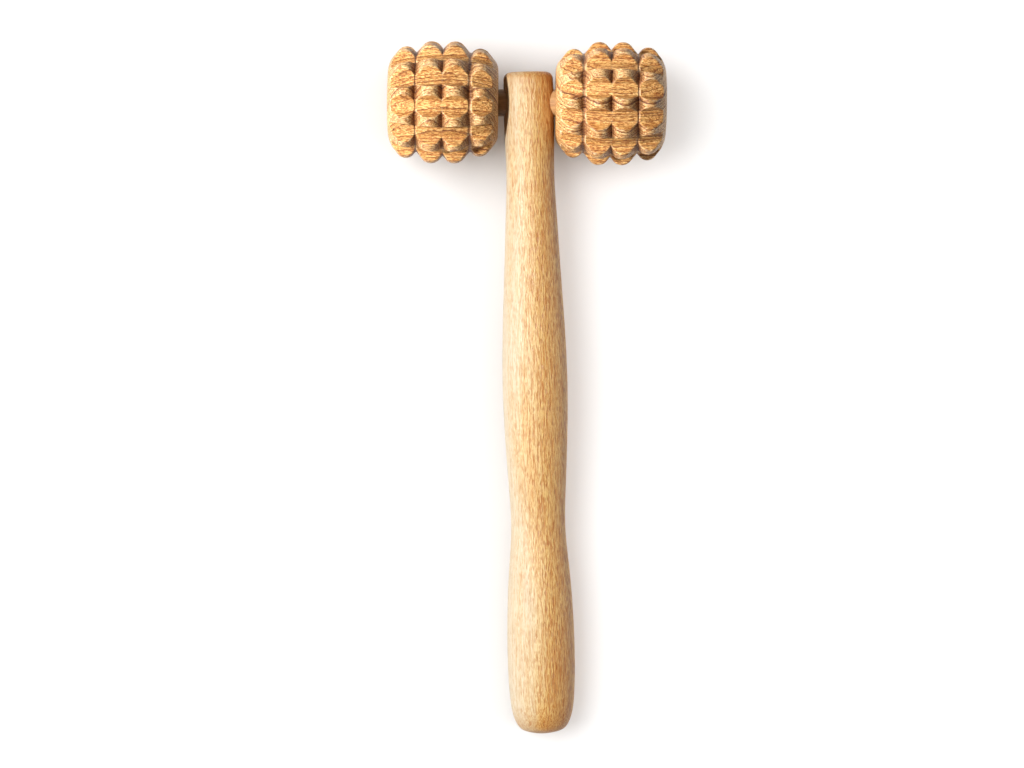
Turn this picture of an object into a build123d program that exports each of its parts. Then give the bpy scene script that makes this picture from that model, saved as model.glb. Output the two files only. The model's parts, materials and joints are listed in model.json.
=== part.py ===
from build123d import *
from math import asin, cos, degrees, radians, sin, tan
import os

# Foot massage roller: a turned beech handle with a cross axle through its head, and a fluted wooden
# roller spinning freely on each end of the axle. The part lies as it does on a table: on its rollers
# and on the belly of the grip. The axle runs along X, the handle points towards -Y, +Z is up.
# The origin is the bottom centre of the whole part's box. Lengths are in millimetres, angles in degrees.

# Rollers: a barrel of four rounded beads, cut by lengthwise flutes.
ROLLER_LENGTH = 44.9
MIDDLE_CREST = (4.8, 25.0, 4.5)     # place from the roller's middle, radius, rounding of the bead's top
FAR_CREST = (15.1, 22.9, 4.0)       # the end bead away from the handle
NEAR_CREST = (15.1, 22.1, 4.0)      # the end bead beside the handle
BEAD_FLANK_ANGLE = 51.0             # slope of the straight flanks below a bead's rounded top
GROOVE_FLOOR_RADIUS = 20.25         # narrow flat floor between a middle and an end bead
FAR_RIM_ROUND = 12.0                # rounded edge of the end face away from the handle
NEAR_RIM_ROUND = 7.0                # rounded edge of the end face beside the handle
FLUTE_COUNT = 12
FLUTE_FLOOR_RADIUS = 21.4           # from the axle to the flute's floor, at the roller's middle
FLUTE_FLOOR_WIDTH = 4.6
FLUTE_WALL_ANGLE = 53.0             # slope of the flute's walls
FLUTE_BARREL_RADIUS = 61.0          # the flute's floor follows this curve along the roller
FLUTE_CUT_DEPTH = 8.0               # how far the cutter's section reaches above the flute's floor
LEFT_ROLLER_TURN = 9.2              # lean of the top flute from the vertical, towards the grip
RIGHT_ROLLER_TURN = -10.1

# Axle, with the caps that keep the rollers on, their wedges and the lock pin.
AXLE_RADIUS = 5.5
RUNNING_CLEARANCE = 0.08            # between the axle and a roller's bore
SIDE_CLEARANCE = 0.12               # a roller pushed against its neighbour stands this far off it
END_FLOAT = 1.5                     # free travel of a roller along the axle
CAP_RADIUS = 8.2
CAP_THICKNESS = 4.2
CAP_EDGE_ROUND = 1.1
COUNTERBORE_RADIUS = 9.0
COUNTERBORE_DEPTH = 6.0
KERF_DEPTH = 8.0
WEDGE_TIP_WIDTH = 0.6
WEDGE_HEAD_WIDTH = 1.8
PIN_RADIUS = 0.8
PIN_LENGTH = 13.0
PIN_SUNK = 0.6                      # depth of the pin's end below the handle's surface

# Handle: its outline runs from the head, past the axle, to the butt.
HEAD_END = -12.5                    # flat end of the head, beyond the axle
HEAD_FLAT_RADIUS = 7.6
HEAD_EDGE_ROUND = 2.7
TABLE_PLACE = 237.7                 # where the grip's belly meets the table, from the axle
TABLE_RADIUS = 13.6                 # the grip's radius there
HANDLE_OUTLINE = [                  # distance from the axle, radius
    (-10.0, 10.1),                  # behind the rounded edge of the head
    (-2.0, 10.3),
    (12.0, 10.25),
    (28.0, 9.85),                   # neck
    (44.0, 10.45),
    (66.0, 11.5),
    (92.0, 12.8),
    (117.0, 13.35),                 # middle swell
    (140.0, 12.65),
    (158.0, 11.65),
    (174.0, 11.15),                 # waist
    (190.0, 12.35),
    (207.0, 13.45),
    (227.0, 13.87),                 # grip bulb
    (242.0, 13.35),
    (250.0, 12.3),
    (254.6, 10.6),                  # rounded edge of the butt
    (256.6, 8.9),
    (257.9, 5.4),
    (258.5, 0.0),                   # middle of the butt
]
HANDLE_YAW = 1.8                    # the axle's hole is bored this far out of square
HEAD_HALF_WIDTH = 10.82             # half the head's width between the rollers, its lean included

# Worked out from the sizes above.
AXLE_HEIGHT = MIDDLE_CREST[1]       # the rollers rest on the ridges between their flutes
HANDLE_TILT = degrees(asin((AXLE_HEIGHT - TABLE_RADIUS) / TABLE_PLACE))
LEFT_ROLLER_PLACE = -(HEAD_HALF_WIDTH + SIDE_CLEARANCE + END_FLOAT + ROLLER_LENGTH / 2)
RIGHT_ROLLER_PLACE = HEAD_HALF_WIDTH + SIDE_CLEARANCE + ROLLER_LENGTH / 2
CAP_INNER_FACE = (HEAD_HALF_WIDTH + END_FLOAT + 2 * SIDE_CLEARANCE
                  + ROLLER_LENGTH - COUNTERBORE_DEPTH)
AXLE_HALF_LENGTH = CAP_INNER_FACE + CAP_THICKNESS


def bead_round(crest, side):
    """The rounded top of a bead on one side of the roller's middle, from its inner to its outer flank."""
    place, radius, rounding = crest
    reach = rounding * sin(radians(BEAD_FLANK_ANGLE))
    drop = rounding * (1 - cos(radians(BEAD_FLANK_ANGLE)))
    points = [(place - reach, radius - drop), (place, radius), (place + reach, radius - drop)]
    return ThreePointArc(*[(side * x, r) for x, r in points])


def flank_foot(arc_end, radius, direction):
    """Where the straight flank that leaves a rounded top at arc_end comes down to a radius."""
    run = (arc_end.Y - radius) / tan(radians(BEAD_FLANK_ANGLE))
    return (arc_end.X + direction * run, radius)


def half_outline(side, end_crest):
    """Upper outline of half a roller, from the valley at its middle to the end face's rim."""
    inner, outer = bead_round(MIDDLE_CREST, side), bead_round(end_crest, side)
    valley_radius = (inner @ 0).Y - abs((inner @ 0).X) * tan(radians(BEAD_FLANK_ANGLE))
    end = side * ROLLER_LENGTH / 2
    rim_radius = (outer @ 1).Y - abs(end - (outer @ 1).X) * tan(radians(BEAD_FLANK_ANGLE))
    floor_start = flank_foot(inner @ 1, GROOVE_FLOOR_RADIUS, side)
    floor_end = flank_foot(outer @ 0, GROOVE_FLOOR_RADIUS, -side)
    return [
        Line((0, valley_radius), inner @ 0),
        inner,
        Polyline(inner @ 1, floor_start, floor_end, outer @ 0),
        outer,
        Polyline(outer @ 1, (end, rim_radius), (end, 0)),
    ]


def rounded_rim(barrel, side, rounding):
    """The barrel with the edge of the end face towards side * X rounded."""
    rim = [e for e in barrel.edges().filter_by(GeomType.CIRCLE)
           if abs(e.center().X - side * ROLLER_LENGTH / 2) < 0.01]
    return fillet(rim, rounding)


def beaded_barrel(side):
    """Solid of revolution about X with four beads, side * X away from the handle, its rims rounded."""
    outline = half_outline(side, FAR_CREST) + half_outline(-side, NEAR_CREST)
    outline.append(Line((-ROLLER_LENGTH / 2, 0), (ROLLER_LENGTH / 2, 0)))
    barrel = revolve(make_face(outline), Axis.X)
    return rounded_rim(rounded_rim(barrel, side, FAR_RIM_ROUND), -side, NEAR_RIM_ROUND)


def flute_cutter():
    """Trapezoid section swung along the barrel's curve, over the top of the roller."""
    floor_half = FLUTE_FLOOR_WIDTH / 2
    mouth_half = floor_half + FLUTE_CUT_DEPTH / tan(radians(FLUTE_WALL_ANGLE))
    section = Plane.YZ * make_face(Polyline(
        (-floor_half, FLUTE_FLOOR_RADIUS),
        (floor_half, FLUTE_FLOOR_RADIUS),
        (mouth_half, FLUTE_FLOOR_RADIUS + FLUTE_CUT_DEPTH),
        (-mouth_half, FLUTE_FLOOR_RADIUS + FLUTE_CUT_DEPTH),
        close=True))
    swing_axis = Axis((0, 0, FLUTE_FLOOR_RADIUS - FLUTE_BARREL_RADIUS), (0, 1, 0))
    half_swing = degrees(asin(ROLLER_LENGTH / 2 / FLUTE_BARREL_RADIUS)) + 5
    start = section.rotate(swing_axis, -half_swing)
    return revolve(start, swing_axis, 2 * half_swing)


def roller(turn, side):
    """One roller about the X axis, its bore and its counterbored outer face towards side * X."""
    cutter = flute_cutter()
    flutes = [cutter.rotate(Axis.X, turn + k * 360 / FLUTE_COUNT) for k in range(FLUTE_COUNT)]
    bore = Cylinder(AXLE_RADIUS + RUNNING_CLEARANCE, 2 * ROLLER_LENGTH, rotation=(0, 90, 0))
    counterbore = Pos(side * ROLLER_LENGTH / 2, 0, 0) * Cylinder(
        COUNTERBORE_RADIUS, 2 * COUNTERBORE_DEPTH, rotation=(0, 90, 0))
    return beaded_barrel(side) - flutes - bore - counterbore


def handle_blank():
    """The turned handle, its axis along -Y and the axle's place at the origin."""
    body = Spline(*[(r, -s) for s, r in HANDLE_OUTLINE], tangents=[(0.05, -1), (-1, 0)])
    head_edge = RadiusArc((HEAD_FLAT_RADIUS, -HEAD_END), body @ 0, HEAD_EDGE_ROUND)
    outline = [Line((0, -HEAD_END), (HEAD_FLAT_RADIUS, -HEAD_END)), head_edge, body,
               Line(body @ 1, (0, -HEAD_END))]
    return revolve(make_face(outline), Axis.Y)


def place_handle(shape):
    """Move a shape from the handle's own axis to where the handle lies on the table."""
    return Rot(0, 0, HANDLE_YAW) * Rot(HANDLE_TILT, 0, 0) * shape


def along_x(radius, length):
    """A cylinder about the X axis, centred on the origin."""
    return Cylinder(radius, length, rotation=(0, 90, 0))


def lock_pin():
    """A thin straight pin, driven up from just inside the head's underside."""
    bottom = -(HEAD_HALF_WIDTH - PIN_SUNK)
    return Pos(0, 0, bottom + PIN_LENGTH / 2) * Cylinder(PIN_RADIUS, PIN_LENGTH)


def pin_hole():
    """The pin's hole, open at the head's underside."""
    bottom = -(HEAD_HALF_WIDTH - PIN_SUNK)
    top = bottom + PIN_LENGTH
    depth = top + 2 * HEAD_HALF_WIDTH
    return Pos(0, 0, top - depth / 2) * Cylinder(PIN_RADIUS, depth)


def handle():
    """The handle with its cross hole for the axle and the pin's hole."""
    cross_hole = along_x(AXLE_RADIUS, 4 * HEAD_HALF_WIDTH)
    return place_handle(handle_blank()) - cross_hole - pin_hole()


def wedge(side):
    """Tapered wedge that fills the saw kerf in one end of the axle."""
    outer, inner = AXLE_HALF_LENGTH, AXLE_HALF_LENGTH - KERF_DEPTH
    outline = Polyline(
        (side * inner, -WEDGE_TIP_WIDTH / 2), (side * inner, WEDGE_TIP_WIDTH / 2),
        (side * outer, WEDGE_HEAD_WIDTH / 2), (side * outer, -WEDGE_HEAD_WIDTH / 2), close=True)
    prism = extrude(make_face(outline), AXLE_RADIUS, both=True)
    return prism & along_x(AXLE_RADIUS, 2 * AXLE_HALF_LENGTH)


def axle():
    """The dowel through the handle's head, sawn for a wedge at both ends."""
    dowel = along_x(AXLE_RADIUS, 2 * AXLE_HALF_LENGTH)
    return dowel - wedge(-1) - wedge(1) - pin_hole()


def end_cap(side):
    """Turned button on one end of the axle, with its rounded edge outwards."""
    button = Pos(side * (CAP_INNER_FACE + CAP_THICKNESS / 2), 0, 0) * along_x(CAP_RADIUS, CAP_THICKNESS)
    outer_edge = button.edges().filter_by(GeomType.CIRCLE).sort_by(Axis.X)[-1 if side > 0 else 0]
    return fillet(outer_edge, CAP_EDGE_ROUND) - along_x(AXLE_RADIUS, 3 * AXLE_HALF_LENGTH)


def assembly():
    """Every sub-part by name, in the part's own frame."""
    shapes = {
        "handle": handle(),
        "axle": axle(),
        "axle_lock_pin": lock_pin(),
        "left_roller": Pos(LEFT_ROLLER_PLACE, 0, 0) * roller(LEFT_ROLLER_TURN, -1),
        "right_roller": Pos(RIGHT_ROLLER_PLACE, 0, 0) * roller(RIGHT_ROLLER_TURN, 1),
        "left_end_cap": end_cap(-1),
        "right_end_cap": end_cap(1),
        "left_wedge": wedge(-1),
        "right_wedge": wedge(1),
    }
    box = Compound(list(shapes.values())).bounding_box()
    to_origin = Pos(-box.center().X, -box.center().Y, AXLE_HEIGHT)
    return {name: to_origin * shape for name, shape in shapes.items()}


os.makedirs("parts", exist_ok=True)
for name, shape in assembly().items():
    export_step(shape, f"parts/{name}.step")
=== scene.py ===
"""Foot massage roller: the looks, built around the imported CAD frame. Metres, +Z up."""
import json
import math

import bpy
import numpy as np
from mathutils import Matrix, Vector


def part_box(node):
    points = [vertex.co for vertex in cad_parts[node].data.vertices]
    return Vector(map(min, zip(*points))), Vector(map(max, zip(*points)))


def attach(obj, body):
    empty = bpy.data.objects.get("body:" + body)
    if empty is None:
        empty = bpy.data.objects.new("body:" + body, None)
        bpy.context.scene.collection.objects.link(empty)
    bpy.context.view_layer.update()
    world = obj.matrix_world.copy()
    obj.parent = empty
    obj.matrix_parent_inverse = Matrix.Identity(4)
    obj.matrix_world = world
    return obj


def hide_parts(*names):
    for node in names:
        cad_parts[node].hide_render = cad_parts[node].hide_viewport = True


MM = 0.001
SHARP_ANGLE = math.radians(38.0)    # on every piece, edges steeper than this stay crisp

# Camera: straight above the table.
CAMERA_HEIGHT = 1.307
CAMERA_AIM = (-0.00510, 0.00191)
CAMERA_ROLL = math.radians(0.48)
CAMERA_LENS = 110.5
SENSOR_WIDTH = 36.0

# Roller: the shape of the CAD part, with its edges softened by sanding and wear.
MIDDLE_CREST = (4.8 * MM, 25.0 * MM, 4.5 * MM)    # place, radius, rounding of the bead's top
FAR_CREST = (15.1 * MM, 22.9 * MM, 4.0 * MM)      # the end bead away from the handle
NEAR_CREST = (15.1 * MM, 22.1 * MM, 4.0 * MM)     # the end bead beside the handle
FLANK_ANGLE = math.radians(51.0)
GROOVE_FLOOR_RADIUS = 20.25 * MM
SIDE_GROOVE_PLACE = 11.0 * MM
FAR_RIM_ROUND = 12.0 * MM
NEAR_RIM_ROUND = 7.0 * MM
FLUTE_COUNT = 12
FLUTE_FLOOR_RADIUS = 21.4 * MM
FLUTE_FLOOR_HALF_WIDTH = 2.3 * MM
FLUTE_WALL_ANGLE = math.radians(53.0)
FLUTE_BARREL_RADIUS = 61.0 * MM
EDGE_SOFTNESS = 0.45 * MM
CORNER_SOFTNESS = 0.5 * MM
VALLEY_SOFTNESS = 0.5 * MM
GROOVE_SOFTNESS = 0.3 * MM
COUNTERBORE_RADIUS = 9.0 * MM
COUNTERBORE_DEPTH = 6.0 * MM
COUNTERBORE_CHAMFER = 0.35 * MM
BORE_RADIUS = 5.58 * MM
BORE_CHAMFER = 0.5 * MM
ROLLER_TURNS = {"left_roller": math.radians(9.2), "right_roller": math.radians(-10.1)}
FAR_FACE_RING = 2.6 * MM            # the far face's ring of vertices, outside its counterbore
NEAR_FACE_RING = 4.0 * MM           # the near face's ring of vertices, outside its bore
FLUTED_MARGIN = 3.0 * MM            # flutes and their marks keep this far outside the counterbore
ROLLER_AROUND = 432
ROLLER_STEP = 0.29 * MM
ROLLER_SAMPLES = 1500               # points on the beads before they are spaced evenly
UNCUT_DEPTH = -1.0                  # stands for no flute nearby, on the faces and in the bore
EDGE_HIGHLIGHT_WIDTH = 0.35 * MM              # depth of cut, either way, that the painted highlight along the flutes' edges covers
MILLED_FADE = 0.3 * MM              # depth of cut over which the milled look comes in
GROOVE_PAINTED_SHADE_WIDTH = 1.6 * MM       # reach of the painted shade on both sides of a groove

# Axle and the pieces on its ends.
AXLE_RADIUS = 5.5 * MM
AXLE_CHAMFER = 0.35 * MM
AXLE_END_RING = 1.5 * MM            # an end's ring of vertices, inside its edge
KERF_DEPTH = 8.0 * MM
WEDGE_TIP_WIDTH = 0.6 * MM
WEDGE_HEAD_WIDTH = 1.8 * MM
KERF_SPARE = 1.0 * MM               # the kerf's tool reaches this far past the axle
CAP_EDGE_ROUND = 1.1 * MM
CAP_CHAMFER = 0.3 * MM
CAP_DOME = 0.25 * MM
PIN_DOME = 0.2 * MM
SMALL_AROUND = 96

# Handle.
HANDLE_AROUND = 216
HANDLE_STEP = 0.65 * MM
SANDED_AWAY = 0.14 * MM             # the most that the hand-sanding takes off the turned surface
SANDING_WAVES = 9
RING_VERTICES = 12                  # a ring of the CAD handle's mesh has at least this many
RING_ROUNDING = 0.01 * MM           # places along the handle are rounded to this, to group a ring
HANDLE_TIP_RADIUS = 0.5 * MM        # smaller rings are left out, and the butt closes in one vertex

# Studio.
FLOOR_HALF_SIZE = 4.0
FLOOR_COLOUR = (0.86, 0.855, 0.85, 1.0)
HORIZON_GLOW = 0.85
OVERHEAD_GLOW = 0.08
GLOW_FADE = (0.06, 0.22)            # sines of the elevations between which the glow dims

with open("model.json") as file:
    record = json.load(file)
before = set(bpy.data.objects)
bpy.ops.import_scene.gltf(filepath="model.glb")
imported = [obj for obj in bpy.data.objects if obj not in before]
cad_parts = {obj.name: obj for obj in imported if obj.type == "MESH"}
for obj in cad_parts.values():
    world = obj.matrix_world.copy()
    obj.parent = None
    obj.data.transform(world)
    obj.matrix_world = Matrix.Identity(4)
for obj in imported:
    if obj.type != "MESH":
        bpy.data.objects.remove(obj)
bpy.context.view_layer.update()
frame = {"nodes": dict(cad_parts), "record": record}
random = np.random.default_rng(29)

axle_low, axle_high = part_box("axle")
AXLE_CENTRE = (axle_low + axle_high) / 2


# ---------------------------------------------------------------- mesh helpers

def smooth_min(a, b, softness):
    """The lower of two heights, blended over a width of softness where they cross."""
    share = np.clip(0.5 + 0.5 * (b - a) / softness, 0.0, 1.0)
    return b + (a - b) * share - softness * share * (1.0 - share)


def smooth_max(a, b, softness):
    return -smooth_min(-a, -b, softness)


def chord_lengths(points):
    """How far along a polyline each of its points lies."""
    return np.concatenate([[0.0], np.cumsum(np.linalg.norm(np.diff(points, axis=0), axis=1))])


def resampled(points, step):
    """A polyline of (x, radius) points, spaced evenly along its length, its ends kept."""
    points = np.asarray(points, float)
    along = chord_lengths(points)
    count = max(2, int(round(along[-1] / step)) + 1)
    places = np.linspace(0.0, along[-1], count)
    return np.stack([np.interp(places, along, points[:, k]) for k in (0, 1)], axis=1)


def smooth_resampled(points, step):
    """Evenly spaced points on the smooth curve through a polyline's points."""
    along = chord_lengths(points)
    slopes = np.gradient(points, along, axis=0)
    places = np.linspace(0.0, along[-1], int(round(along[-1] / step)) + 1)
    i = np.clip(np.searchsorted(along, places) - 1, 0, len(points) - 2)
    span = (along[i + 1] - along[i])[:, None]
    t = (places - along[i])[:, None] / span
    return ((1 + 2 * t) * (1 - t) ** 2 * points[i] + t * (1 - t) ** 2 * span * slopes[i]
            + t ** 2 * (3 - 2 * t) * points[i + 1] + t ** 2 * (t - 1) * span * slopes[i + 1])


def rounded_corner(centre, radius, start, end, count=7):
    """Points on an arc, from one angle to another, in degrees from the +x direction."""
    angles = np.radians(np.linspace(start, end, count))
    return [(centre[0] + radius * math.cos(a), centre[1] + radius * math.sin(a)) for a in angles]


def ring_vertices(x, radius, angle):
    """Points around the X axis; the angle runs from +Z towards -Y."""
    return np.stack([x, -radius * np.sin(angle), radius * np.cos(angle)], axis=-1).reshape(-1, 3)


def ring_faces(rows, columns, closed):
    """Faces between rings of vertices. Closed rows meet again; open rows end in two middle vertices."""
    row, column = np.meshgrid(np.arange(rows if closed else rows - 1), np.arange(columns), indexing="ij")
    here = row * columns
    following = (row + 1) % rows * columns
    right = (column + 1) % columns
    quads = np.stack([here + column, here + right, following + right, following + column], axis=-1)
    faces = [tuple(face) for face in quads.reshape(-1, 4).tolist()]
    if not closed:
        first = rows * columns
        last = first + 1
        end_row = first - columns
        faces += [(first, (k + 1) % columns, k) for k in range(columns)]
        faces += [(end_row + k, end_row + (k + 1) % columns, last) for k in range(columns)]
    return faces


def new_piece(name, vertices, faces):
    """A smooth-shaded mesh object from vertex and face arrays."""
    mesh = bpy.data.meshes.new(name)
    mesh.from_pydata([tuple(v) for v in vertices], [], faces)
    mesh.validate()
    piece = bpy.data.objects.new(name, mesh)
    bpy.context.scene.collection.objects.link(piece)
    mesh.shade_smooth()
    mesh.set_sharp_from_angle(angle=SHARP_ANGLE)
    return piece


def turned_about_x(name, outline, centre, closed):
    """A lathe piece about an axis parallel to X, from (x, radius) points measured from its centre."""
    outline = np.asarray(outline, float)
    turns = np.arange(SMALL_AROUND) * 2 * math.pi / SMALL_AROUND
    vertices = ring_vertices(
        np.repeat(outline[:, :1], SMALL_AROUND, axis=1),
        outline[:, 1:] * np.ones(SMALL_AROUND), turns[None, :] * np.ones((len(outline), 1)))
    if not closed:
        vertices = np.concatenate([vertices, [(outline[0, 0], 0, 0), (outline[-1, 0], 0, 0)]])
    return new_piece(name, vertices + np.array(centre), ring_faces(len(outline), SMALL_AROUND, closed))


def carve(piece, tool, operation="DIFFERENCE"):
    """Cut a piece with a tool, and keep the result as the piece's own mesh."""
    modifier = piece.modifiers.new("carve", "BOOLEAN")
    modifier.object = tool
    modifier.operation = operation
    modifier.solver = "EXACT"
    depsgraph = bpy.context.evaluated_depsgraph_get()
    carved = bpy.data.meshes.new_from_object(piece.evaluated_get(depsgraph))
    piece.modifiers.clear()
    piece.data = carved
    carved.name = piece.name
    carved.shade_smooth()
    carved.set_sharp_from_angle(angle=SHARP_ANGLE)


def discard(tool):
    bpy.data.objects.remove(tool, do_unlink=True)


def store(piece, name, values):
    """Keep one number per vertex on a piece, for its material to read."""
    attribute = piece.data.attributes.new(name, "FLOAT", "POINT")
    attribute.data.foreach_set("value", np.asarray(values, np.float32).ravel())


# ---------------------------------------------------------------- rollers

def bead_height(away, crest):
    """Radius of one bead, rounded on top, with straight flanks, at a distance from its crest."""
    _, radius, rounding = crest
    reach = rounding * math.sin(FLANK_ANGLE)
    drop = rounding * (1.0 - math.cos(FLANK_ANGLE))
    top = radius - rounding + np.sqrt(np.maximum(rounding ** 2 - away ** 2, 0.0))
    flank = radius - drop - (away - reach) * math.tan(FLANK_ANGLE)
    return np.where(away <= reach, top, flank)


def barrel_radius(x, side):
    """Radius of the uncut roller at a place along its axle; side * x points away from the handle."""
    middle = bead_height(np.abs(np.abs(x) - MIDDLE_CREST[0]), MIDDLE_CREST)
    far = bead_height(np.abs(x - side * FAR_CREST[0]), FAR_CREST)
    near = bead_height(np.abs(x + side * NEAR_CREST[0]), NEAR_CREST)
    beads = smooth_max(middle, np.maximum(far, near), VALLEY_SOFTNESS)
    groove = np.where(np.abs(x) < FAR_CREST[0], GROOVE_FLOOR_RADIUS, 0.0)
    return smooth_max(beads, groove, GROOVE_SOFTNESS)


def roller_rim(half, end, side):
    """The rounded rim of one end face, from its outside towards the face."""
    flank_normal = math.degrees(math.pi / 2 - FLANK_ANGLE)
    rounding = FAR_RIM_ROUND if end == side else NEAR_RIM_ROUND
    corner_radius = float(barrel_radius(np.array([end * half]), side)[0])
    tangent = rounding * math.tan(math.radians(flank_normal) / 2)
    centre = (half - rounding, corner_radius - tangent)
    points = rounded_corner(centre, rounding, flank_normal, 0.0, count=40)
    return [(end * x, r) for x, r in points]


def roller_end(half, end, side):
    """The end face, from near its rim down to the bore; the far face has the cap's counterbore."""
    if end == side:
        floor = half - COUNTERBORE_DEPTH
        points = [
            (half, COUNTERBORE_RADIUS + FAR_FACE_RING),
            (half, COUNTERBORE_RADIUS + COUNTERBORE_CHAMFER),
            (half - COUNTERBORE_CHAMFER, COUNTERBORE_RADIUS),
            (floor, COUNTERBORE_RADIUS),
            (floor, BORE_RADIUS)]
    else:
        points = [
            (half, BORE_RADIUS + NEAR_FACE_RING),
            (half, BORE_RADIUS + BORE_CHAMFER),
            (half - BORE_CHAMFER, BORE_RADIUS)]
    return [(end * x, r) for x, r in points]


def roller_outline(length, side):
    """(x, radius) around the section, from the bore's left end, over the outside, to its right end."""
    half = length / 2
    left_rim = roller_rim(half, -1, side)[::-1]
    right_rim = roller_rim(half, 1, side)
    x = np.linspace(left_rim[-1][0], right_rim[0][0], ROLLER_SAMPLES)[1:-1]
    outside = np.concatenate([left_rim, np.stack([x, barrel_radius(x, side)], axis=1), right_rim])
    left_end = roller_end(half, -1, side)[::-1]
    return np.concatenate([left_end, resampled(outside, ROLLER_STEP), roller_end(half, 1, side)])


def flute_radius(x, angle):
    """Radius of the flutes' cut, at a place along the axle and an angle from the nearest flute."""
    barrel = np.sqrt(FLUTE_BARREL_RADIUS ** 2 - x ** 2)
    floor = FLUTE_FLOOR_RADIUS - FLUTE_BARREL_RADIUS + barrel
    spread = 1.0 / math.tan(FLUTE_WALL_ANGLE)
    angle = np.abs(angle)
    on_floor = floor / np.cos(angle)
    on_wall = (spread * floor - FLUTE_FLOOR_HALF_WIDTH) / (spread * np.cos(angle) - np.sin(angle))
    return smooth_max(on_floor, on_wall, CORNER_SOFTNESS)


def make_roller(name, side):
    low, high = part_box(name)
    centre = (low + high) / 2
    outline = roller_outline(high.x - low.x, side)
    turns = np.arange(ROLLER_AROUND) * 2 * math.pi / ROLLER_AROUND
    x = np.repeat(outline[:, :1], ROLLER_AROUND, axis=1)
    turned = np.repeat(outline[:, 1:], ROLLER_AROUND, axis=1)
    angle = np.repeat(turns[None, :], len(outline), axis=0)
    pitch = 2 * math.pi / FLUTE_COUNT
    fluted = flute_radius(x, (angle + pitch / 2) % pitch - pitch / 2)
    outside = turned > COUNTERBORE_RADIUS + FLUTED_MARGIN
    radius = np.where(outside, smooth_min(turned, fluted, EDGE_SOFTNESS), turned)
    vertices = ring_vertices(x, radius, angle + ROLLER_TURNS[name])
    vertices += np.array((centre.x, centre.y, AXLE_CENTRE.z))
    piece = new_piece(name + "_turned", vertices, ring_faces(len(outline), ROLLER_AROUND, closed=True))
    cut_depth = np.where(outside, turned - fluted, UNCUT_DEPTH)
    store(piece, "milled", np.clip(cut_depth / MILLED_FADE + 0.5, 0.0, 1.0))
    # Painted highlight: marks the edges where the flutes meet the turned surface, to be painted pale.
    store(piece, "edge", np.exp(-(cut_depth / EDGE_HIGHLIGHT_WIDTH) ** 2) * outside)
    # Painted shade: marks the turned wood beside each groove, to be darkened where shade falls in the
    # valleys.
    side_groove_painted_shade = np.exp(-((np.abs(x) - SIDE_GROOVE_PLACE) / GROOVE_PAINTED_SHADE_WIDTH) ** 2)
    middle_groove_painted_shade = np.exp(-(x / GROOVE_PAINTED_SHADE_WIDTH) ** 2)
    store(piece, "groove", (side_groove_painted_shade + middle_groove_painted_shade) * outside)
    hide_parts(name)
    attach(piece, name)
    return piece


# ---------------------------------------------------------------- handle

def handle_frame():
    """Where the head's flat end is, and the turn whose x runs along the grain and z upwards."""
    mount = frame["record"]["mounts"][0]
    along = -Vector(mount["axis"])
    across = Vector((0, 0, 1)).cross(along).normalized()
    up = along.cross(across)
    return Vector(mount["pos_m"]), Matrix((along, across, up)).transposed()


def handle_outline(origin, turn):
    """(distance from the head's end, radius) of the turned handle, read from the CAD handle's rings."""
    points = np.array([tuple(vertex.co) for vertex in frame["nodes"]["handle"].data.vertices])
    local = (points - np.array(origin)) @ np.array(turn)
    distance = np.round(local[:, 0] / RING_ROUNDING) * RING_ROUNDING
    radius = np.hypot(local[:, 1], local[:, 2])
    places, counts = np.unique(distance, return_counts=True)
    rings = places[(counts >= RING_VERTICES) & (places >= 0)]
    outline = np.array([(place, radius[distance == place].max()) for place in rings])
    outline = outline[outline[:, 1] > HANDLE_TIP_RADIUS]
    flat = outline[0, 1]
    face = [(0.0, share * flat) for share in (0.1, 0.25, 0.4, 0.55, 0.7, 0.85)]
    return np.concatenate([face, smooth_resampled(outline, HANDLE_STEP)])


def hand_sanding(distance, angle):
    """A share from 0 to 1 that wanders slowly along and around the handle."""
    total = np.zeros_like(distance)
    for _ in range(SANDING_WAVES):
        waves = random.uniform(8.0, 70.0)
        turns = random.integers(0, 4)
        phase, lean = random.uniform(0, 2 * math.pi, 2)
        total += np.cos(distance * waves + phase) * np.cos(angle * turns + lean)
    return 0.5 + 0.5 * total / np.abs(total).max()


def make_handle():
    origin, turn = handle_frame()
    outline = handle_outline(origin, turn)
    turns = np.arange(HANDLE_AROUND) * 2 * math.pi / HANDLE_AROUND
    distance = np.repeat(outline[:, :1], HANDLE_AROUND, axis=1)
    angle = np.repeat(turns[None, :], len(outline), axis=0)
    turned = np.repeat(outline[:, 1:], HANDLE_AROUND, axis=1)
    radius = turned - SANDED_AWAY * hand_sanding(distance, angle) * turned / turned.max()
    vertices = ring_vertices(distance, radius, angle)
    ends = [(outline[0, 0], 0, 0), (outline[-1, 0], 0, 0)]
    vertices = np.concatenate([vertices, ends]) @ np.array(turn).T + np.array(origin)
    piece = new_piece("handle_turned", vertices, ring_faces(len(outline), HANDLE_AROUND, closed=False))
    reach = 4 * AXLE_RADIUS
    bore = turned_about_x("bore_tool", [(-reach, AXLE_RADIUS), (reach, AXLE_RADIUS)], AXLE_CENTRE, False)
    carve(piece, bore)
    discard(bore)
    hole = pin_hole_tool()
    carve(piece, hole)
    discard(hole)
    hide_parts("handle")
    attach(piece, "handle")
    return piece


# ---------------------------------------------------------------- axle, caps, wedges and pin

def pin_frame():
    """The pin's middle, its radius and half its length."""
    low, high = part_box("axle_lock_pin")
    return (low + high) / 2, (high.x - low.x) / 2, (high.z - low.z) / 2


def upright(piece, middle):
    """Turn a lathe piece, made about X, about its middle until it stands along Z."""
    to_z = Matrix.Rotation(math.radians(-90), 4, "Y")
    piece.data.transform(Matrix.Translation(middle) @ to_z @ Matrix.Translation(-middle))


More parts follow.
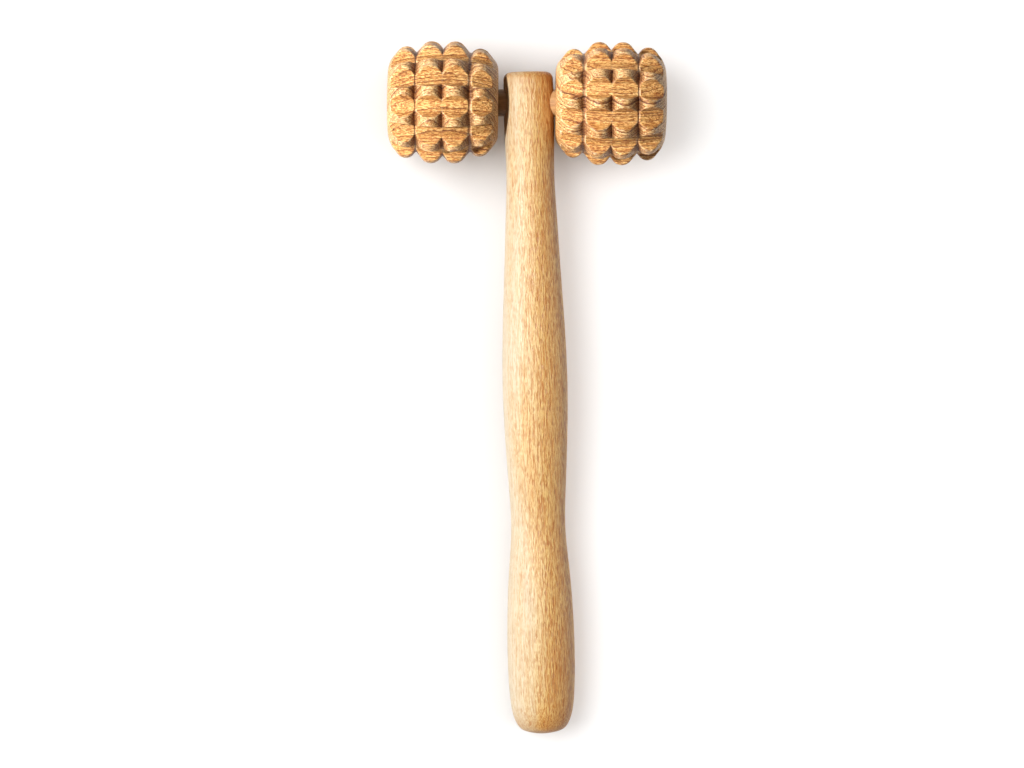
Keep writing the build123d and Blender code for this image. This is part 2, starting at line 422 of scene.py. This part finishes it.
def pin_hole_tool():
    middle, radius, half = pin_frame()
    tool = turned_about_x("hole_tool", [(-3 * half, radius), (half, radius)], middle, False)
    upright(tool, middle)
    return tool


def dowel_outline(half):
    rim = AXLE_RADIUS - AXLE_CHAMFER
    right_end = [(half - AXLE_CHAMFER, AXLE_RADIUS), (half, rim), (half, rim - AXLE_END_RING)]
    return [(-x, radius) for x, radius in right_end[::-1]] + right_end


def wedge_tool(side, half):
    """The tapered prism that fills a kerf; it reaches past the axle's end and sides."""
    slope = (WEDGE_HEAD_WIDTH - WEDGE_TIP_WIDTH) / KERF_DEPTH / 2
    inner = half - KERF_DEPTH
    outer = half + KERF_SPARE
    tip = WEDGE_TIP_WIDTH / 2
    head = WEDGE_HEAD_WIDTH / 2 + slope * KERF_SPARE
    section = [(inner, -tip), (inner, tip), (outer, head), (outer, -head)]
    tall = AXLE_RADIUS + KERF_SPARE
    vertices = [(side * x, y, z) for z in (-tall, tall) for x, y in section]
    faces = [(3, 2, 1, 0), (4, 5, 6, 7)]
    faces += [(k, (k + 1) % 4, (k + 1) % 4 + 4, k + 4) for k in range(4)]
    if side < 0:
        faces = [face[::-1] for face in faces]
    return new_piece("kerf_tool", np.array(vertices) + np.array(AXLE_CENTRE), faces)


def make_axle():
    half = (axle_high.x - axle_low.x) / 2
    piece = turned_about_x("axle_dowel", dowel_outline(half), AXLE_CENTRE, False)
    wedges = []
    for side, name in ((-1, "left_wedge"), (1, "right_wedge")):
        tool = wedge_tool(side, half)
        wedge = turned_about_x(name + "_driven", dowel_outline(half), AXLE_CENTRE, False)
        carve(wedge, tool, "INTERSECT")
        carve(piece, tool)
        discard(tool)
        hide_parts(name)
        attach(wedge, "handle")
        wedges.append(wedge)
    hole = pin_hole_tool()
    carve(piece, hole)
    discard(hole)
    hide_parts("axle")
    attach(piece, "handle")
    return piece, wedges


def make_cap(name, side):
    low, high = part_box(name)
    centre = (low + high) / 2
    half = (high.x - low.x) / 2
    radius = (high.y - low.y) / 2
    shoulder = (half - CAP_EDGE_ROUND, radius - CAP_EDGE_ROUND)
    dome = [(half - CAP_DOME * share ** 2, shoulder[1] - CAP_EDGE_ROUND * share) for share in (0.5, 1.0)]
    section = [
        (-half, AXLE_RADIUS + CAP_CHAMFER), (-half, radius - CAP_CHAMFER), (-half + CAP_CHAMFER, radius),
        *rounded_corner(shoulder, CAP_EDGE_ROUND, 90, 6), *dome,
        (half - CAP_DOME - CAP_CHAMFER, AXLE_RADIUS), (-half + CAP_CHAMFER, AXLE_RADIUS)]
    if side < 0:
        section = [(-x, r) for x, r in section[::-1]]
    piece = turned_about_x(name + "_turned", section, centre, True)
    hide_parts(name)
    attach(piece, "handle")
    return piece


def make_pin():
    middle, radius, half = pin_frame()
    head = [(0.1, 0.45), (0.4, 0.8), (1.0, 1.0)]      # shares of the dome's depth and of the radius
    point = [(2.0, 1.0), (0.6, 0.45), (0.1, 0.12)]    # radii back from the tip, share of the radius
    outline = [(-half + PIN_DOME * sunk, radius * share) for sunk, share in head]
    outline += [(half - radius * back, radius * share) for back, share in point]
    piece = turned_about_x("lock_pin_drawn", outline, middle, False)
    upright(piece, middle)
    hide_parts("axle_lock_pin")
    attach(piece, "handle")
    return piece


# ---------------------------------------------------------------- materials

OAK_LAYER = [                       # share of a growth layer passed, colour
    (0.0, (0.24, 0.092, 0.026)),    # early wood
    (0.09, (0.32, 0.14, 0.042)),
    (0.20, (0.66, 0.39, 0.145)),
    (0.60, (0.80, 0.53, 0.23)),
    (0.90, (0.90, 0.66, 0.35)),     # late wood
    (1.0, (0.54, 0.29, 0.10))]

BEECH_TONE_AND_PAINTED_SHEEN = [                      # share of the way across the handle passed, colour; the cream end is a painted sheen on the side towards the lamps
    (0.0, (0.53, 0.45, 0.325)),     # cream, a painted sheen
    (0.35, (0.58, 0.43, 0.215)),
    (0.65, (0.61, 0.395, 0.138)),
    (1.0, (0.59, 0.355, 0.125))]    # gold


class Graph:
    """One material's nodes, with short calls for what the woods share."""

    def __init__(self, name):
        self.material = bpy.data.materials.new(name)
        self.material.use_nodes = True
        self.tree = self.material.node_tree
        self.shader = self.tree.nodes["Principled BSDF"]

    def feed(self, socket, value):
        if isinstance(value, bpy.types.NodeSocket):
            self.tree.links.new(value, socket)
        else:
            socket.default_value = value

    def node(self, kind, inputs, **settings):
        node = self.tree.nodes.new(kind)
        for key, value in settings.items():
            setattr(node, key, value)
        for socket, value in inputs.items():
            self.feed(node.inputs[socket], value)
        return node

    def math(self, operation, a, b=0.0, c=0.0):
        return self.node("ShaderNodeMath", {0: a, 1: b, 2: c}, operation=operation).outputs[0]

    def remap(self, value, low, high, to_low=0.0, to_high=1.0):
        """Ease a value from one range into another, held at both ends."""
        inputs = {"Value": value, "From Min": low, "From Max": high, "To Min": to_low, "To Max": to_high}
        return self.node("ShaderNodeMapRange", inputs, interpolation_type="SMOOTHSTEP").outputs[0]

    def scaled(self, vector, factors):
        return self.node("ShaderNodeVectorMath", {0: vector, 1: factors}, operation="MULTIPLY").outputs[0]

    def shifted(self, vector, offset):
        return self.node("ShaderNodeVectorMath", {0: vector, 1: offset}, operation="ADD").outputs[0]

    def noise(self, vector, factors, detail=2.0, roughness=0.5, output="Fac"):
        """Noise with so many cells to a millimetre along each axis of the grain's space."""
        place = self.scaled(vector, factors)
        inputs = {"Vector": place, "Scale": 1.0, "Detail": detail, "Roughness": roughness}
        return self.node("ShaderNodeTexNoise", inputs).outputs[output]

    def mix(self, factor, a, b, mode="MIX"):
        node = self.node("ShaderNodeMix", {}, data_type="RGBA", blend_type=mode)
        self.feed(node.inputs[0], factor)
        self.feed(node.inputs[6], a)
        self.feed(node.inputs[7], b)
        return node.outputs[2]

    def covered(self, colour, share, paint):
        """A colour with another laid over a share of it."""
        return self.mix(share, colour, (*paint, 1.0))

    def tinted(self, colour, share, tint):
        """A colour darkened towards its product with a tint."""
        return self.mix(share, colour, (*tint, 1.0), "MULTIPLY")

    def ramp(self, value, stops):
        node = self.node("ShaderNodeValToRGB", {"Fac": value})
        band = node.color_ramp
        while len(band.elements) < len(stops):
            band.elements.new(0.5)
        for element, (position, colour) in zip(band.elements, stops):
            element.position = position
            element.color = (*colour, 1.0)
        return node.outputs["Color"]

    def stored(self, name):
        attribute = self.node("ShaderNodeAttribute", {}, attribute_name=name, attribute_type="GEOMETRY")
        return attribute.outputs["Fac"]

    def axis(self, vector, name):
        return self.node("ShaderNodeSeparateXYZ", {"Vector": vector}).outputs[name]

    def grain_space(self, origin, turn):
        """Millimetres in the wood's own frame, x along its grain."""
        inputs = {
            "Vector": self.node("ShaderNodeTexCoord", {}).outputs["Object"],
            "Location": tuple(origin), "Rotation": turn.to_euler(), "Scale": (MM, MM, MM)}
        return self.node("ShaderNodeMapping", inputs, vector_type="TEXTURE").outputs[0]

    def swayed(self, grain, reach, along=0.02, across=0.09):
        """The same space, pushed about slowly, so that no layer runs quite straight."""
        sway = self.noise(grain, (along, across, across), 2.0, 0.5, "Color")
        push = self.scaled(self.shifted(sway, (-0.5, -0.5, -0.5)), (0.0, reach, reach))
        return self.shifted(grain, push)

    def layers(self, grain, pith, spacing, drift):
        """Growth layers counted outwards from the pith: the count, and the share of the layer passed."""
        away = self.scaled(self.shifted(grain, (0.0, -pith[0], -pith[1])), (0.0, 1.0, 1.0))
        radius = self.node("ShaderNodeVectorMath", {0: away}, operation="LENGTH").outputs["Value"]
        radius = self.math("MULTIPLY_ADD", self.axis(grain, "X"), drift, radius)
        inputs = {"W": radius, "Scale": 0.45 / spacing, "Detail": 1.0}
        unevenness = self.node("ShaderNodeTexNoise", inputs, noise_dimensions="1D").outputs["Fac"]
        count = self.math("MULTIPLY_ADD", radius, 1.0 / spacing, self.math("MULTIPLY", unevenness, 1.6))
        return self.math("FLOOR", count), self.math("FRACT", count)

    def per_layer(self, number):
        """A random share for each growth layer."""
        return self.node("ShaderNodeTexWhiteNoise", {"W": number}, noise_dimensions="1D").outputs["Value"]

    def dashes(self, grain, cell, share, size=0.32):
        """Short lens-shaped marks along the grain; a share of the cells holds one."""
        place = self.scaled(grain, tuple(1.0 / length for length in cell))
        cells = self.node("ShaderNodeTexVoronoi", {"Vector": place, "Scale": 1.0})
        luck = self.node("ShaderNodeSeparateColor", {"Color": cells.outputs["Color"]}).outputs[0]
        mark = self.remap(cells.outputs["Distance"], size * 0.6, size * 1.3, 1.0, 0.0)
        return self.math("MULTIPLY", self.math("LESS_THAN", luck, share), mark)

    def finish(self, colour, roughness, height, depth):
        """Join colour, roughness and a bump height to the shader; depth is the bump's full height."""
        self.feed(self.shader.inputs["Base Color"], colour)
        self.feed(self.shader.inputs["Roughness"], roughness)
        bump = self.node("ShaderNodeBump", {"Height": height, "Strength": 1.0, "Distance": depth})
        self.feed(self.shader.inputs["Normal"], bump.outputs["Normal"])
        return self.material


def oak_roller(name, centre, lean):
    """Ring-porous wood: dark porous early wood fading to pale late wood, with long open pores."""
    graph = Graph(name)
    grain = graph.shifted(graph.grain_space(centre, Matrix.Identity(3)), (40.0 * lean, 0.0, 0.0))
    bent = graph.swayed(graph.swayed(grain, 2.8), 0.8, 0.11, 0.5)
    torn = graph.swayed(bent, 0.55, 0.55, 1.5)
    pith = (63.0 * lean, -29.4)
    number, share = graph.layers(torn, pith, spacing=1.45, drift=0.03)
    colour = graph.ramp(share, OAK_LAYER)
    pale_layer = graph.remap(graph.per_layer(number), 0.35, 1.0, 0.0, 0.6)
    colour = graph.covered(colour, pale_layer, (0.88, 0.62, 0.30))
    broad = graph.noise(grain, (0.03, 0.12, 0.12), 2.0)
    colour = graph.tinted(colour, graph.remap(broad, 0.35, 0.7, 0.0, 0.5), (0.96, 0.84, 0.66))
    streak = graph.noise(torn, (0.2, 2.0, 2.0), 3.0, 0.6)
    colour = graph.tinted(colour, graph.remap(streak, 0.48, 0.58, 0.0, 0.9), (0.68, 0.48, 0.32))
    fibre = graph.noise(torn, (0.6, 3.2, 3.2), 2.0, 0.6)
    colour = graph.tinted(colour, graph.remap(fibre, 0.48, 0.55), (0.52, 0.34, 0.22))
    early = graph.remap(share, 0.05, 0.5, 1.0, 0.25)
    pores = graph.math("MULTIPLY", graph.dashes(torn, (3.2, 0.6, 0.6), share=0.8), early)
    colour = graph.covered(colour, graph.math("MULTIPLY", pores, 0.7), (0.19, 0.068, 0.018))
    milled = graph.stored("milled")
    colour = graph.tinted(colour, graph.math("MULTIPLY", milled, 0.9), (1.0, 0.86, 0.60))
    # Painted highlight: the flutes' edges are painted pale, in patches, as if catching the light.
    highlight_patches = graph.remap(graph.noise(grain, (0.5, 0.5, 0.5), 2.0), 0.42, 0.66, 0.0, 0.6)
    colour = graph.covered(colour, graph.math("MULTIPLY", graph.stored("edge"), highlight_patches), (0.95, 0.77, 0.47))
    # Painted shade: the turned wood on both sides of each groove is darkened, standing in for the shade
    # in the valleys.
    groove = graph.math("MULTIPLY", graph.stored("groove"), graph.math("SUBTRACT", 0.9, milled))
    colour = graph.tinted(colour, groove, (0.46, 0.27, 0.16))
    roughness = graph.remap(graph.math("MULTIPLY_ADD", milled, 0.35, fibre), 0.3, 1.0, 0.36, 0.62)
    cutter = graph.math("MULTIPLY", graph.noise(torn, (0.35, 1.7, 1.7), 3.0, 0.6), milled)
    relief = graph.math("MULTIPLY_ADD", fibre, 1.0, graph.math("MULTIPLY", pores, -0.6))
    relief = graph.math("MULTIPLY_ADD", cutter, 1.5, relief)
    relief = graph.math("MULTIPLY_ADD", share, 0.25, relief)
    return graph.finish(colour, roughness, relief, depth=0.34 * MM)


def beech_handle(name):
    """Diffuse-porous wood: pale, with faint layers, tan strokes and short brown ray flecks."""
    graph = Graph(name)
    grain = graph.grain_space(*handle_frame())
    bent = graph.swayed(graph.swayed(grain, 3.2, 0.012, 0.07), 0.5, 0.10, 0.5)
    torn = graph.swayed(bent, 0.45, 0.25, 1.3)
    drift = graph.noise(bent, (0.012, 0.16, 0.16), 3.0)
    # Painted sheen: across the handle, the side towards the lamps is painted cream and its grain marks
    # are faded; the far side is gold.
    tone = graph.math("MULTIPLY_ADD", drift, 18.0, graph.axis(bent, "Y"))
    grain_outside_painted_sheen = graph.remap(tone, -7.0, 13.0, 0.15, 1.0)
    colour = graph.ramp(graph.remap(tone, -4.0, 20.0), BEECH_TONE_AND_PAINTED_SHEEN)
    pith = (-34.0, -30.0)
    number, share = graph.layers(torn, pith, spacing=2.3, drift=0.05)
    late_strength = graph.remap(graph.per_layer(number), 0.0, 1.0, 0.12, 0.6)
    late = graph.math("MULTIPLY", graph.remap(share, 0.55, 0.97), late_strength)
    colour = graph.tinted(colour, late, (0.84, 0.66, 0.44))
    streak = graph.remap(graph.noise(torn, (0.035, 0.85, 0.85), 3.0, 0.6), 0.50, 0.70, 0.0, 0.5)
    colour = graph.tinted(colour, graph.math("MULTIPLY", streak, grain_outside_painted_sheen), (0.82, 0.58, 0.32))
    stroke = graph.noise(torn, (0.08, 2.2, 2.2), 2.0, 0.6)
    stroke_share = graph.math("MULTIPLY", graph.remap(stroke, 0.53, 0.60, 0.0, 0.9), grain_outside_painted_sheen)
    colour = graph.tinted(colour, stroke_share, (0.74, 0.50, 0.28))
    fibre = graph.noise(torn, (0.20, 3.8, 3.8), 2.0, 0.6)
    fibre_share = graph.math("MULTIPLY", graph.remap(fibre, 0.50, 0.57), grain_outside_painted_sheen)
    colour = graph.tinted(colour, fibre_share, (0.72, 0.49, 0.28))
    rays = graph.dashes(torn, (3.4, 0.8, 2.6), share=0.5, size=0.36)
    ray_share = graph.math("MULTIPLY", rays, graph.math("MULTIPLY", grain_outside_painted_sheen, 0.75))
    colour = graph.covered(colour, ray_share, (0.36, 0.14, 0.036))
    elsewhere = graph.shifted(torn, (17.0, 3.0, 9.0))
    small_rays = graph.dashes(elsewhere, (2.1, 0.6, 1.6), share=0.5, size=0.34)
    small_ray_share = graph.math("MULTIPLY", small_rays, graph.math("MULTIPLY", grain_outside_painted_sheen, 0.65))
    colour = graph.covered(colour, small_ray_share, (0.40, 0.17, 0.046))
    along = graph.axis(torn, "X")
    head_end = graph.remap(along, 1.0, 7.0, 1.0, 0.0)
    ends = graph.math("MAXIMUM", head_end, graph.remap(along, 258.0, 270.0))
    colour = graph.tinted(colour, graph.math("MULTIPLY", ends, 0.8), (0.86, 0.70, 0.52))
    roughness = graph.remap(graph.math("MULTIPLY_ADD", rays, -0.2, fibre), 0.2, 0.8, 0.40, 0.58)
    relief = graph.math("MULTIPLY_ADD", rays, -0.35, graph.math("MULTIPLY", fibre, 0.9))
    relief = graph.math("MULTIPLY_ADD", stroke, -0.8, relief)
    return graph.finish(colour, roughness, relief, depth=0.21 * MM)


def plain_wood(name, light, dark, spacing, pith):
    """Close-grained wood along the axle, for the small pieces, its rings showing on their ends."""
    graph = Graph(name)
    grain = graph.grain_space(AXLE_CENTRE, Matrix.Identity(3))
    bent = graph.swayed(grain, 1.0, 0.05, 0.25)
    number, share = graph.layers(bent, pith, spacing, drift=0.02)
    late = graph.remap(share, 0.2, 1.0, 0.0, 0.7)
    tone = graph.math("MULTIPLY_ADD", graph.per_layer(number), 0.3, late)
    colour = graph.mix(tone, (*light, 1.0), (*dark, 1.0))
    fibre = graph.noise(grain, (0.3, 6.0, 6.0), 3.0, 0.6)
    colour = graph.tinted(colour, graph.remap(fibre, 0.4, 0.7, 0.0, 0.5), (0.70, 0.55, 0.42))
    pores = graph.dashes(grain, (4.0, 0.32, 0.32), 0.4)
    colour = graph.covered(colour, graph.math("MULTIPLY", pores, 0.6), [0.4 * c for c in dark])
    roughness = graph.remap(fibre, 0.3, 0.7, 0.45, 0.62)
    relief = graph.math("MULTIPLY_ADD", pores, -0.6, fibre)
    return graph.finish(colour, roughness, relief, depth=0.05 * MM)


def drawn_steel(name):
    graph = Graph(name)
    middle, _, _ = pin_frame()
    wire = graph.grain_space(middle, Matrix.Rotation(math.radians(-90), 3, "Y"))
    scratch = graph.noise(wire, (0.25, 14.0, 14.0), 2.0, 0.6)
    bloom = graph.noise(wire, (0.8, 1.2, 1.2), 3.0, 0.6)
    dull = graph.remap(bloom, 0.45, 0.75)
    colour = graph.mix(dull, (0.60, 0.585, 0.56, 1.0), (0.38, 0.32, 0.26, 1.0))
    graph.shader.inputs["Metallic"].default_value = 1.0
    roughness = graph.remap(scratch, 0.3, 0.7, 0.24, 0.48)
    return graph.finish(colour, roughness, scratch, depth=0.01 * MM)


def floor_material():
    material = bpy.data.materials.new("floor_white")
    material.use_nodes = True
    shader = material.node_tree.nodes["Principled BSDF"]
    shader.inputs["Base Color"].default_value = FLOOR_COLOUR
    shader.inputs["Roughness"].default_value = 0.9
    return material


# ---------------------------------------------------------------- stage, light, camera

def make_floor():
    half = FLOOR_HALF_SIZE
    corners = [(-half, -half, 0), (half, -half, 0), (half, half, 0), (-half, half, 0)]
    mesh = bpy.data.meshes.new("floor")
    mesh.from_pydata(corners, [], [(0, 1, 2, 3)])
    floor = bpy.data.objects.new("floor", mesh)
    bpy.context.scene.collection.objects.link(floor)
    mesh.materials.append(floor_material())
    return floor


def make_world():
    """A sky that is pale at the horizon and dim overhead, where the lamps do the work."""
    world = bpy.data.worlds.new("studio")
    bpy.context.scene.world = world
    world.use_nodes = True
    nodes = world.node_tree.nodes
    links = world.node_tree.links
    direction = nodes.new("ShaderNodeTexCoord")
    height = nodes.new("ShaderNodeSeparateXYZ")
    glow = nodes.new("ShaderNodeMapRange")
    glow.inputs["From Min"].default_value = GLOW_FADE[0]
    glow.inputs["From Max"].default_value = GLOW_FADE[1]
    glow.inputs["To Min"].default_value = HORIZON_GLOW
    glow.inputs["To Max"].default_value = OVERHEAD_GLOW
    links.new(direction.outputs["Generated"], height.inputs[0])
    links.new(height.outputs["Z"], glow.inputs["Value"])
    links.new(glow.outputs[0], nodes["Background"].inputs["Color"])


def make_lamp(name, diameter, watts, elevation, distance, swing=0.0):
    """A round lamp aimed at the axle, raised from the left over the top, then swung towards +Y."""
    lamp = bpy.data.lights.new(name, "AREA")
    lamp.shape = "DISK"
    lamp.size = diameter
    lamp.energy = watts
    light = bpy.data.objects.new(name, lamp)
    bpy.context.scene.collection.objects.link(light)
    rise = math.radians(elevation)
    turn = math.radians(swing)
    towards = Vector((-math.cos(rise) * math.cos(turn), math.cos(rise) * math.sin(turn), math.sin(rise)))
    light.location = AXLE_CENTRE + towards * distance
    light.rotation_euler = (-towards).to_track_quat("-Z", "Y").to_euler()
    light.visible_camera = False
    return light


def light_only(light, lit):
    """Keep a lamp's light to some objects, which the others still shade."""
    receivers = bpy.data.collections.new(light.name + "_lights")
    for piece in lit:
        receivers.objects.link(piece)
    light.light_linking.receiver_collection = receivers


def make_camera():
    data = bpy.data.cameras.new("camera")
    data.lens = CAMERA_LENS
    data.sensor_width = SENSOR_WIDTH
    camera = bpy.data.objects.new("camera", data)
    bpy.context.scene.collection.objects.link(camera)
    camera.location = (*CAMERA_AIM, CAMERA_HEIGHT)
    camera.rotation_euler = (0, 0, CAMERA_ROLL)
    bpy.context.scene.camera = camera


# ---------------------------------------------------------------- assembly

def dress(piece, material):
    piece.data.materials.clear()
    piece.data.materials.append(material)


make_camera()
by_rollers = []
for roller_name, outward in (("left_roller", -1), ("right_roller", 1)):
    roller = make_roller(roller_name, outward)
    roller_low, roller_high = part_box(roller_name)
    dress(roller, oak_roller(roller_name + "_oak", (roller_low + roller_high) / 2, -outward))
    by_rollers.append(roller)

handle = make_handle()
dress(handle, beech_handle("handle_beech"))

axle, axle_wedges = make_axle()
dress(axle, plain_wood(
    "axle_wood", light=(0.53, 0.31, 0.13), dark=(0.42, 0.22, 0.085), spacing=1.3, pith=(2.5, -1.5)))
wedge_wood = plain_wood(
    "wedge_wood", light=(0.15, 0.075, 0.035), dark=(0.08, 0.04, 0.02), spacing=0.9, pith=(6.0, 9.0))
for axle_wedge in axle_wedges:
    dress(axle_wedge, wedge_wood)
cap_wood = plain_wood(
    "cap_wood", light=(0.53, 0.32, 0.14), dark=(0.33, 0.165, 0.06), spacing=1.25, pith=(-3.0, 1.8))
for cap_name, outward in (("left_end_cap", -1), ("right_end_cap", 1)):
    cap = make_cap(cap_name, outward)
    dress(cap, cap_wood)
    by_rollers.append(cap)
pin = make_pin()
dress(pin, drawn_steel("pin_steel"))
by_rollers += axle_wedges
by_handle = [handle, axle, pin]

floor = make_floor()
make_world()
# Each lamp: name, diameter in metres, watts, elevation in degrees, distance in metres, and any swing.
light_only(make_lamp("handle_key", 0.10, 40.0, 61.0, 1.5), by_handle)
light_only(make_lamp("handle_soft_left", 0.9, 3.0, 12.0, 1.2), by_handle)
light_only(make_lamp("handle_fill_right", 0.8, 3.0, 170.0, 1.2), [handle])
light_only(make_lamp("roller_key", 0.10, 35.0, 50.0, 1.5), by_rollers)
light_only(make_lamp("roller_low_key", 0.35, 16.0, 28.0, 1.2), by_rollers)
light_only(make_lamp("table_glow", 6.0, 94.0, 90.0, 2.5), [floor])
light_only(make_lamp("table_left", 1.4, 18.0, 55.0, 1.5, 8.0), [floor])
light_only(make_lamp("table_right", 1.4, 12.0, 145.0, 1.5), [floor])
bpy.context.scene.view_settings.view_transform = "Standard"
